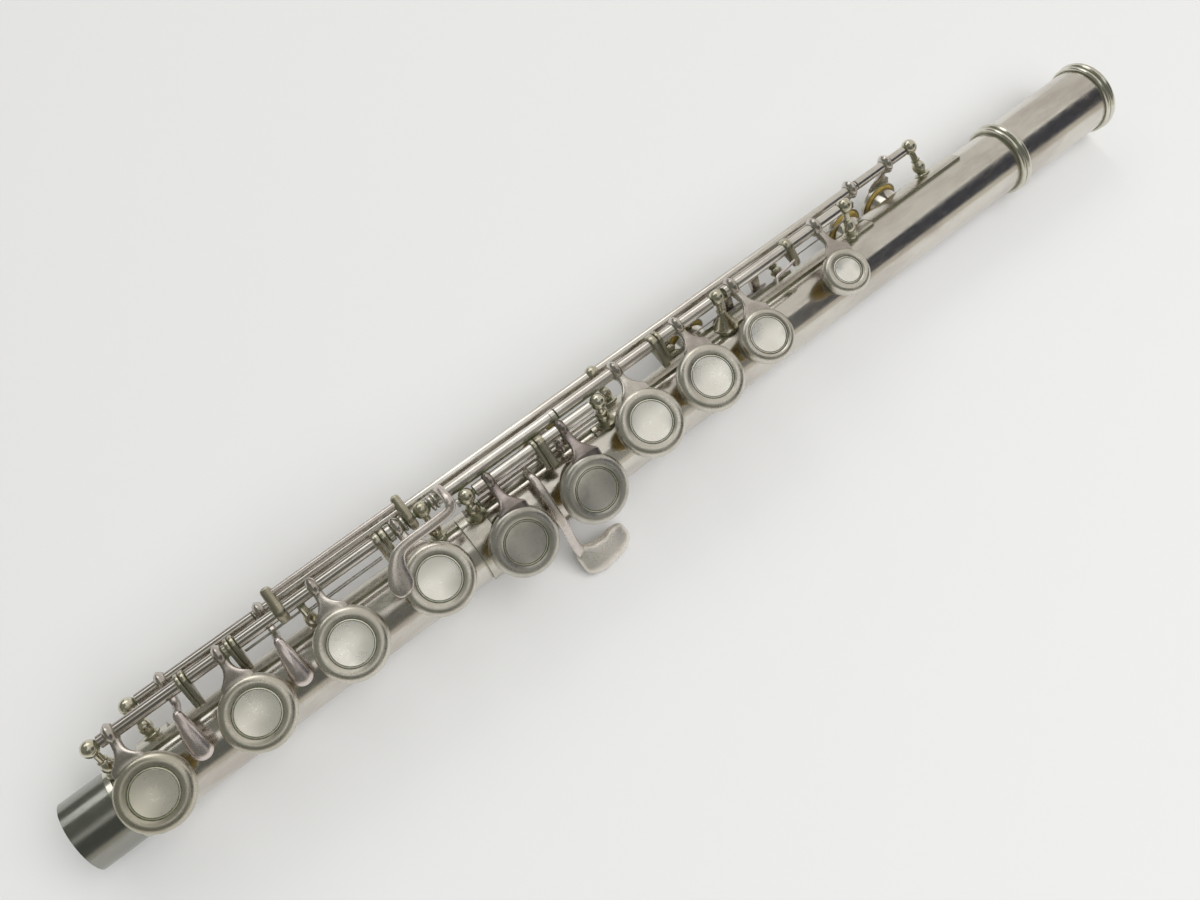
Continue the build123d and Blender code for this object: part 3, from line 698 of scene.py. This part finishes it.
def arm_shape(name, line, collar, web_reach=4.6):
    """A cast arm in the key frame: a neck from the hinge and a web that spreads along the cup."""
    x, r = cup_size(name)
    frame_of_hole = around(x, CUP_ANGLES[name])
    hinge = (frame_of_hole.inverted() @ Vector((x, *line))).yz
    side = 1 if hinge.x > 0 else -1
    offset = ARM_PLACES[name] - x
    edge = (r * r - offset * offset) ** 0.5
    reach = abs(hinge.x)
    rise = SEAT_R + ARM_RISE
    web = min(web_reach, reach - edge - HINGE_R - WEB_CLEARANCE)
    sections = []
    steps = 16
    for k in range(steps + 1):
        away = reach + (edge - ARM_OVERLAP - reach) * k / steps
        spread = max(0.0, 1 - max(0.0, away - edge) / web)
        wide = ARM_HALF_WIDTH + WEB_SPREAD * spread ** 2.1
        travel = min(1.0, (reach - away) / (reach - edge))
        ease = travel * travel * (3 - 2 * travel)
        centre = Vector((offset, side * away, hinge.y + (rise - hinge.y) * ease))
        thinning = (ARM_TIP_HALF_HEIGHT - ARM_ROOT_HALF_HEIGHT) * min(1.0, travel * 1.25)
        tall = ARM_ROOT_HALF_HEIGHT + thinning
        sections.append(oval(centre, X_AXIS, Z_AXIS, min(wide, WIDEST_WEB_SHARE * r), tall, 3.0, 28))
    ring = ridged_collar(ARM_PLACES[name], line, collar, ARM_HALF_WIDTH)
    return joined((loft(sections), frame_of_hole), ring)


def lug_shape(line, collar, x0, x1, reach, drop, tail):
    """A plate on a hinge tube that reaches over the tube, with a tail on the far side."""
    y, z = line
    circles = [(y, z, collar), (y - reach, z - drop, LUG_TIP_R)]
    if tail:
        circles.append((y + tail, z + 0.3, LUG_TIP_R + 0.1))
    bevel = THICK_LUG_BEVEL if x1 - x0 > THICK_LUG else THIN_LUG_BEVEL
    return plate(hull_of(circles), x0, x1, bevel)


# where each cup's arm is along the tube
ARM_PLACES = {
    "d": 21.8, "e": 51.9, "f": 79.1, "f_sharp": 104.3, "a": 175.5, "a_sharp": 197.2,
    "c": 217.1, "c_sharp": 248.4, "lower_g": 130.1, "upper_g": 153.8, "g_sharp": 151.4,
    "d_trill": 269.4, "d_sharp_trill": 284.0, "thumb_b": 205.3,
}
# each lug's start and end along the tube, its reach and drop, and its tail's length
LUGS = {
    "d": ((40.4, 41.5, 6.8, LUG_DROP, 0),),
    "e": ((54.2, 55.3, 6.8, LUG_DROP, 0),),
    "f": (
        (97.5, 99.2, 5.4, LUG_DROP, 0),
        (67.9, 70.7, 2.4, -0.4, 6.4),
        (106.9, 109.4, 2.4, -0.4, 6.4),
    ),
    "f_sharp": (
        (99.4, 101.0, 5.4, LUG_DROP, 0),
        (41.7, 42.9, 6.8, LUG_DROP, 0),
        (55.5, 56.7, 6.8, LUG_DROP, 0),
    ),
    "a": ((187.8, 189.7, 6.8, LUG_DROP, 1.2),),
    "a_sharp": ((189.9, 191.1, 5.0, LUG_DROP, 0),),
    "c": ((236.6, 239.0, 5.2, LUG_DROP, 0),),
    "lower_g": ((144.4, 145.6, 6.2, LUG_DROP, 0),),
    "upper_g": ((145.8, 148.0, 7.0, LUG_DROP, 0),),
}
KEY_TUBES = {
    "d": (18.65, 41.5), "e": (43.1, 55.3), "f": (56.9, 99.2), "f_sharp": (99.4, 106.7),
    "a": (155.3, 189.7), "a_sharp": (189.9, 209.4), "c": (214.4, 257.7),
    "lower_g": (125.6, 145.6), "upper_g": (145.8, 163.8),
}
TUBE_COLLARS = {"f_sharp": ((101.2, 102.8, 2.4), (105.8, 106.6, 2.3))}
# steels that turn with a key and carry its parts past the keys between them
F_SHARP_STEEL = (14.4, 111.9)
TRILL_STEEL = (24.9, 295.9)


def finger_key(name):
    """A finger key's tube, arms and lugs."""
    if name in OFFSET_KEYS:
        line, collar, arm_metal = G_LINE, G_COLLAR_R, G_ARM_METAL
    else:
        line, collar, arm_metal = MAIN, COLLAR_R, KEY_METAL
    stands_for = [name + "_key"]
    tubes = [(hinge_pipe(*KEY_TUBES[name], collars=TUBE_COLLARS.get(name, ())), along(line))]
    if name == "f_sharp":
        tubes.append((steel_rod(*F_SHARP_STEEL), along(line)))
    piece(name + "_hinge_tube", joined(*tubes), name, ROD_METAL, stands_for)
    for cup_name in [cup for cup, body in BODY_OF_CUP.items() if body == name]:
        arm = arm_shape(cup_name, line, collar)
        piece(cup_name + "_arm", arm, name, arm_metal, stands_for)
    lugs = joined(*[lug_shape(line, collar, *size) for size in LUGS[name]])
    piece(name + "_lugs", lugs, name, LUG_METAL, stands_for)


for name in KEY_TUBES:
    finger_key(name)

# ---- a rod joins the F key's tailed lugs, and a hook on the C key catches its spring ----
bridge_rod = steel_rod(69.0, 108.5, radius=1.1)
bridge_line = Vector((MAIN.x + 4.9, MAIN.y + 0.3))
piece("f_bridge_rod", bridge_rod, "f", LEVER_METAL, ["f_key"], along(bridge_line))
hook = bar([
    (237.2, MAIN.x - 4.3, MAIN.y + 0.6, 0.5, 0.4),
    (233.4, MAIN.x - 4.9, MAIN.y + 0.6, 0.45, 0.4),
    (229.8, MAIN.x - 5.3, MAIN.y + 0.6, 0.5, 0.4),
    (228.7, MAIN.x - 7.0, MAIN.y + 0.6, 0.35, 0.3),
], up_axis=(0, 0, 1))
piece("c_spring_hook", hook, "c", TOUCH_METAL, ["c_key"])

# ---- B flat lever: over the rod, back along it, down to a finger-shaped touch ----
LEVER_TOP = 21.3
lever_bar = bar([
    (118.1, MAIN.x + 2.0, MAIN.y + 1.4, 1.2, 1.1),
    (118.1, MAIN.x + 1.9, 17.2, 1.2, 1.05),
    (118.1, 16.9, 20.0, 1.2, 0.95),
    (118.0, 15.2, LEVER_TOP, 1.3, 0.8),
    (117.3, 13.8, LEVER_TOP, 1.35, 0.8),
    (115.6, 13.2, LEVER_TOP, 1.35, 0.8),
    (111.0, 13.0, LEVER_TOP, 1.35, 0.8),
    (104.0, 12.9, LEVER_TOP, 1.4, 0.8),
    (100.6, 12.1, LEVER_TOP, 1.7, 0.8),
    (98.5, 9.8, LEVER_TOP, 2.3, 0.85),
    (97.2, 7.0, LEVER_TOP, 3.0, 0.85),
    (96.6, 4.9, LEVER_TOP, 3.1, 0.8),
    (96.4, 3.3, LEVER_TOP, 2.3, 0.65),
    (96.4, 2.5, LEVER_TOP, 1.0, 0.35),
], up_axis=(0, 0, 1), squareness=2.1)
piece("b_flat_lever_bar", lever_bar, "b_flat", LEVER_METAL, ["b_flat_lever"])
lever_collars = ((114.6, 115.4, 2.3), (115.8, 116.5, 2.3), (153.3, 155.0, 1.85))
lever_tube = hinge_pipe(114.45, 155.1, collars=lever_collars)
piece(
    "b_flat_lever_tube", lever_tube, "b_flat", ROD_METAL, ["b_flat_lever"], along(MAIN))

# ---- G sharp key: tube, crossing lever and kidney touch ----
G_LEVER_X = 140.05
g_lever = bar([
    (G_LEVER_X, G_SHARP.x, G_SHARP.y, 1.15, 1.5),
    (G_LEVER_X, 5.6, 13.6, 1.2, 0.9),
    (G_LEVER_X, -1.5, 13.7, 1.2, 0.85),
    (G_LEVER_X, -9.0, 10.4, 1.25, 0.85),
    (140.4, -15.2, 5.2, 1.3, 0.8),
    (141.2, -18.4, 2.7, 1.6, 0.5),
], up_axis=(0, 0.35, 1), squareness=3.2)
piece("g_sharp_lever", g_lever, "g_sharp", LEVER_METAL, ["g_sharp_key"])
g_tube = hinge_pipe(125.35, 164.05, THIN_HINGE_R)
piece(
    "g_sharp_hinge_tube", g_tube, "g_sharp", ROD_METAL, ["g_sharp_key"], along(G_SHARP))
g_arm = arm_shape("g_sharp", G_SHARP, SMALL_COLLAR_R, web_reach=0.8)
piece("g_sharp_arm", g_arm, "g_sharp", KEY_METAL, ["g_sharp_key"])
kidney_outline = rounded([
    (139.9, 0.2, 0.6), (142.0, 0.2, 0.8), (144.8, -1.1, 2.4), (148.4, -1.6, 4.0),
    (151.4, -0.7, 2.4), (155.0, -1.5, 2.8), (155.6, -6.6, 3.4), (152.2, -9.4, 4.5),
    (145.0, -10.5, 4.5), (139.4, -9.0, 4.0), (139.2, -3.0, 2.6),
])
KIDNEY_TILT = 12.0
kidney = dome(kidney_outline, centre=(147.0, -6.0), low=-0.6, edge=-0.1, crown=1.3, layers=12)
kidney_place = Matrix.Translation((0, -16.8, 2.8)) @ Matrix.Rotation(radians(KIDNEY_TILT), 4, "X")
piece(
    "g_sharp_kidney", kidney, "g_sharp", KIDNEY_METAL, ["g_sharp_touch"], kidney_place)


# ---- trill keys ----

def teardrop(x):
    """A trill key's touch: a narrow neck that swells to a rounded end."""
    circles = [(x, 11.1, 1.3), (x - 0.15, 7.0, 2.1), (x - 0.3, 3.2, 2.75), (x - 0.3, 1.4, 2.8)]
    return dome(hull_of(circles, 40), centre=(x - 0.3, 3.0), low=14.4, edge=14.95, crown=16.6)


def trill_key(name, x, tubes):
    """A trill key's tubes, its touch at x, the neck under the main rod and the arm to its cup."""
    stands_for = [name + "_key"]
    pipes = [(hinge_pipe(x0, x1, THIN_HINGE_R), along(TRILL)) for x0, x1 in tubes]
    if name == "d_sharp_trill":
        pipes.append((steel_rod(*TRILL_STEEL), along(TRILL)))
    piece(name + "_hinge_tube", joined(*pipes), name, ROD_METAL, stands_for)
    piece(name + "_touch", teardrop(x), name, TOUCH_METAL, stands_for)
    neck = bar([
        (x, TRILL.x, TRILL.y, 1.1, 1.6), (x, 16.2, 5.6, 1.1, 1.2), (x, 13.3, 7.9, 1.05, 0.95),
        (x, 12.3, 11.2, 1.0, 0.85), (x, 11.6, 14.2, 1.05, 0.8), (x, 11.3, 15.2, 1.1, 0.5),
    ], up_axis=(0, 1, 0.3))
    collar = ridged_collar(x, TRILL, TRILL_COLLAR_R, ARM_HALF_WIDTH)
    cup_arm = arm_shape(name, TRILL, TRILL_COLLAR_R)
    piece(name + "_arm", joined(neck, collar, cup_arm), name, KEY_METAL, stands_for)


trill_key("d_trill", x=64.9, tubes=[(63.1, 271.6)])
trill_key("d_sharp_trill", x=36.5, tubes=[(29.3, 62.9), (271.8, 291.5)])


# ---- thumb keys ----

THUMB_TOUCH_R = 11.45
THUMB_TOUCH_START = 106
THUMB_TOUCH_SWEEP = 48
THUMB_ROOT_ANGLE = radians(108)
THUMB_ROOT_R = 11.5
BRACKET_HALF_WIDTH = 1.4


def thumb_touch(x0, x1):
    """A curved touch that wraps under the tube."""
    sections = []
    steps = 14
    for k in range(steps + 1):
        a = radians(THUMB_TOUCH_START + THUMB_TOUCH_SWEEP * k / steps)
        out = Vector((0, sin(a), cos(a)))
        ends = 0.35 * abs(2 * k / steps - 1) ** 6
        centre = out * THUMB_TOUCH_R + X_AXIS * ((x0 + x1) / 2)
        sections.append(oval(centre, X_AXIS, out, (x1 - x0) / 2 - ends * 3, 0.5 - ends, 5, 36))
    return loft(sections)


def thumb_key(name, x0, x1, tube):
    """A thumb key's touch from x0 to x1 on its bracket, its arm if it has a cup, and its tube."""
    stands_for = [name + "_key"]
    root = Vector((sin(THUMB_ROOT_ANGLE), cos(THUMB_ROOT_ANGLE))) * THUMB_ROOT_R
    middle = (x0 + x1) / 2
    bracket_outline = hull_of([(*THUMB, 1.5), (*root, 0.6)])
    bracket = plate(bracket_outline, middle - BRACKET_HALF_WIDTH, middle + BRACKET_HALF_WIDTH)
    parts = [thumb_touch(x0, x1), bracket]
    if name == "thumb_b":
        parts.append(arm_shape(name, THUMB, SMALL_COLLAR_R))
    piece(name + "_touch", joined(*parts), name, KEY_METAL, stands_for)
    pipe = hinge_pipe(*tube)
    piece(name + "_hinge_tube", pipe, name, ROD_METAL, stands_for, along(THUMB))


thumb_key("thumb_b", x0=214.6, x1=225.8, tube=(199.0, 226.0))
thumb_key("thumb_b_flat", x0=226.4, x1=234.9, tube=(226.2, 235.0))

# ---- CAD nodes that keep their shape and get a material ----
KEPT = (
    (TUBE_METAL, ("body_tube", "barrel")),
    (RING_METAL, ("tenon_ring", "barrel_rings")),
    (STEEL_METAL, ("hinge_steels", "needle_springs")),
    (POST_METAL, ("spring_post",)),
    (RIB_METAL, ("right_hand_rib", "left_hand_rib", "thumb_rib")),
    (RIB_METAL, ("trill_plates", "trill_strap", "g_saddles")),
)
for metal, nodes in KEPT:
    for node in nodes:
        mesh = frame["nodes"][node].data
        mesh.materials.clear()
        mesh.materials.append(metal)

# ---- floor, light and camera ----
FLOOR_HALF = 2.0
floor_mesh = bpy.data.meshes.new("floor")
floor_corners = [(-FLOOR_HALF, -FLOOR_HALF, 0), (FLOOR_HALF, -FLOOR_HALF, 0)]
floor_corners += [(FLOOR_HALF, FLOOR_HALF, 0), (-FLOOR_HALF, FLOOR_HALF, 0)]
floor_mesh.from_pydata(floor_corners, [], [(0, 1, 2, 3)])
floor = bpy.data.objects.new("floor", floor_mesh)
floor.location = (0.18, 0, cad_box[0].z)
bpy.context.scene.collection.objects.link(floor)
floor_shader = Surface("floor_paper")
floor_shader.set(Base_Color=(0.80, 0.80, 0.805), Roughness=0.7)
floor_mesh.materials.append(floor_shader.material)

world = bpy.data.worlds.new("studio")
bpy.context.scene.world = world
world.use_nodes = True
sky = Shader(world.node_tree, "Generated")
towards = sky.add("ShaderNodeSeparateXYZ", {0: sky.place}).outputs
# the room: a bright ceiling over the head end, a dim one with a lamp over the foot end, and a dark
# wall on -Y that stands on a bright table top; past_edge is how far a direction is on the
# ceiling's side of the wall's upper edge
LAMP_DIRECTION = (-0.12, -0.26, 0.96)
LAMP_WHITE = (0.95, 0.94, 0.90)
GLARE_WHITE = (1.25, 1.24, 1.20)
lit_end = sky.ramp(towards["X"], 0.06, 0.13)
wall_edge = sky.ramp(towards["X"], 0.50, 0.62, -0.34, -0.16)
past_edge = sky.maths("SUBTRACT", towards["Y"], wall_edge)

glare = sky.maths("MULTIPLY", lit_end, sky.ramp(towards["X"], 0.15, 0.26, 1.0, 0.0))
streak = sky.maths("MULTIPLY", lit_end, sky.ramp(past_edge, 0.05, 0.10, 1.0, 0.0))
overhead = sky.mix(lit_end, (0.19, 0.195, 0.17), (0.66, 0.64, 0.60))
overhead = sky.mix(glare, overhead, GLARE_WHITE)
overhead = sky.mix(streak, overhead, LAMP_WHITE)

wall = sky.mix(lit_end, (0.13, 0.135, 0.12), (0.30, 0.295, 0.27))
wall = sky.mix(sky.ramp(towards["X"], 0.33, 0.48), wall, (0.055, 0.057, 0.07))
table_top = sky.ramp(towards["Z"], 0.20, 0.30, 1.0, 0.0)
wall = sky.mix(table_top, wall, (0.60, 0.57, 0.50))

distance = sky.add("ShaderNodeVectorMath", {0: sky.place, 1: LAMP_DIRECTION}, operation="DISTANCE")
lamp = sky.ramp(distance.outputs["Value"], 0.10, 0.26, 0.85, 0.0)
room = sky.mix(sky.ramp(past_edge, -0.02, 0.02), wall, overhead)
room = sky.mix(lamp, room, LAMP_WHITE)
sky.feed(world.node_tree.nodes["Background"].inputs["Color"], room)


def softbox(name, place, target, size, power, in_reflections=True):
    """A rectangular area light that looks at a point."""
    light = bpy.data.lights.new(name, "AREA")
    light.shape = "RECTANGLE"
    light.size, light.size_y = size
    light.energy = power
    obj = bpy.data.objects.new(name, light)
    obj.location = place
    obj.rotation_euler = (Vector(target) - Vector(place)).to_track_quat("-Z", "Y").to_euler()
    obj.visible_glossy = in_reflections
    bpy.context.scene.collection.objects.link(obj)


softbox("window", place=(0.2, 0.95, 0.85), target=(0.18, 0, 0), size=(1.2, 0.5), power=2.5)
softbox(
    "ceiling_fill", place=(0.5, -0.7, 1.3), target=(0.2, 0, 0), size=(1.8, 1.4), power=21.0,
    in_reflections=False)

# the photo's camera, solved from the places of the cups, rings and tube in it
CAMERA_PLACE = Vector((89.39, -91.01, 289.42)) * MM
CAMERA_RIGHT = Vector((0.7822, -0.6230, 0.0))
CAMERA_UP = Vector((0.5773, 0.7246, 0.3764))
SENSOR_WIDTH = 36.0
LENS = 33.55
camera_data = bpy.data.cameras.new("camera")
camera_data.sensor_width = SENSOR_WIDTH
camera_data.lens = LENS
camera_data.clip_start = 0.01
camera = bpy.data.objects.new("camera", camera_data)
back = CAMERA_RIGHT.cross(CAMERA_UP).normalized()
right = CAMERA_RIGHT.normalized()
up = back.cross(right)
camera.matrix_world = Matrix((
    (right.x, up.x, back.x, CAMERA_PLACE.x),
    (right.y, up.y, back.y, CAMERA_PLACE.y),
    (right.z, up.z, back.z, CAMERA_PLACE.z),
    (0, 0, 0, 1),
))
bpy.context.scene.collection.objects.link(camera)
bpy.context.scene.camera = camera
bpy.context.scene.view_settings.view_transform = "Standard"
